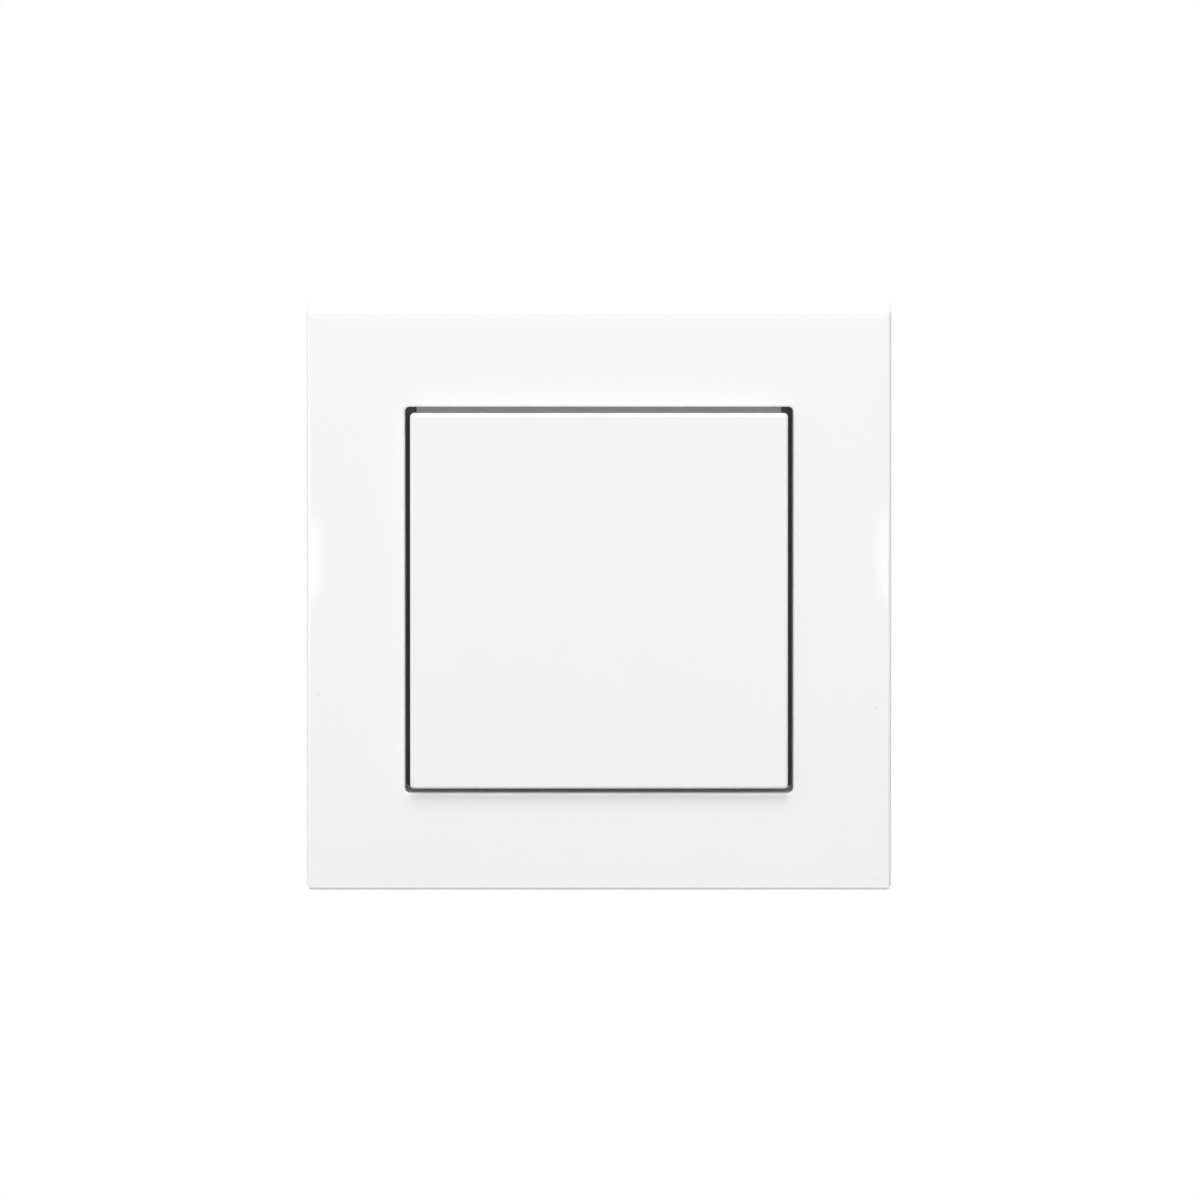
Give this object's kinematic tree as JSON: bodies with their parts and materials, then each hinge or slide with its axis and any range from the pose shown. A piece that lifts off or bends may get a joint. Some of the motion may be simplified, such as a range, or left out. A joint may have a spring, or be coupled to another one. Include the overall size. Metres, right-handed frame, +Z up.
{
  "type": "wireless dimmer switch",
  "caption": "Wall-mounted wireless dimmer transmitter: a square tilting rocker in a square cover frame, with a self-powered radio module behind it.",
  "frame": {"origin": "centre of the mounting plate's rear face, in the plane of the wall", "axes": "+Y into the wall, +Z up as it hangs on the wall, +X to the right seen from the front"},
  "size_m": [0.084, 0.014, 0.084],
  "materials": {
    "frame_white": "glossy",
    "rocker_white": "glossy",
    "plate_plastic": "fine moulded grain",
    "ring_plastic": "fine moulded grain",
    "module_plastic": "fine moulded grain",
    "bow_plastic": "glass-filled, dull",
    "silicone": "dull",
    "board": "solder mask",
    "chip": "moulded",
    "crystal_can": "satin",
    "capacitor_yellow": "moulded",
    "capacitor_tan": "fired",
    "carrier_plastic": "moulded",
    "magnet_nickel": "plated",
    "soft_iron": "satin",
    "bobbin_plastic": "moulded",
    "copper": "enamelled wire",
    "tin": "tinned",
    "spring_steel": "satin"
  },
  "bodies": {
    "housing": {"mounting_plate": "plate_plastic", "cover_frame": "frame_white", "fixing_frame": "ring_plastic", "module_base": "module_plastic", "module_cover": "module_plastic", "circuit_board": "board", "radio_chip": "chip", "crystal": "crystal_can", "storage_capacitor": "capacitor_yellow", "chip_capacitors": "capacitor_tan", "contact_mat": "silicone", "generator_carrier": "carrier_plastic", "magnet": "magnet_nickel", "front_pole_plate": "soft_iron", "rear_pole_plate": "soft_iron", "coil_bobbin": "bobbin_plastic", "coil_winding": "copper", "coil_terminals": "tin"},
    "rocker": {"rocker": "rocker_white"},
    "upper_bow": {"upper_bow": "bow_plastic"},
    "lower_bow": {"lower_bow": "bow_plastic"},
    "armature": {"armature_core": "soft_iron", "armature_hub": "carrier_plastic", "drive_spring": "spring_steel"}
  },
  "joints": [
    {"name": "rocker_tilt", "type": "hinge", "parent": "housing", "child": "rocker", "pos_m": [0, -0.0086, 0], "axis": [-1, 0, 0], "range_deg": [-5, 5], "stiffness_Nm_per_rad": 0.15, "deforming": ["contact_mat"]},
    {"name": "upper_bow_swing", "type": "hinge", "parent": "housing", "child": "upper_bow", "pos_m": [0, -0.0046, -0.0157], "axis": [-1, 0, 0], "range_deg": [-2.77, 2.77], "deforming": ["drive_spring"]},
    {"name": "lower_bow_swing", "type": "hinge", "parent": "housing", "child": "lower_bow", "pos_m": [0, -0.0046, 0.0157], "axis": [-1, 0, 0], "range_deg": [-2.77, 2.77]},
    {"name": "armature_swing", "type": "hinge", "parent": "housing", "child": "armature", "pos_m": [0, -0.0061, -0.0076], "axis": [-1, 0, 0], "range_deg": [0, 5], "stiffness_Nm_per_rad": 0.004, "springref_deg": -2.86}
  ],
  "couplings": [
    {"joint": "upper_bow_swing", "follows": "rocker_tilt", "ratio": 0.55271},
    {"joint": "lower_bow_swing", "follows": "rocker_tilt", "ratio": 0.55271}
  ]
}
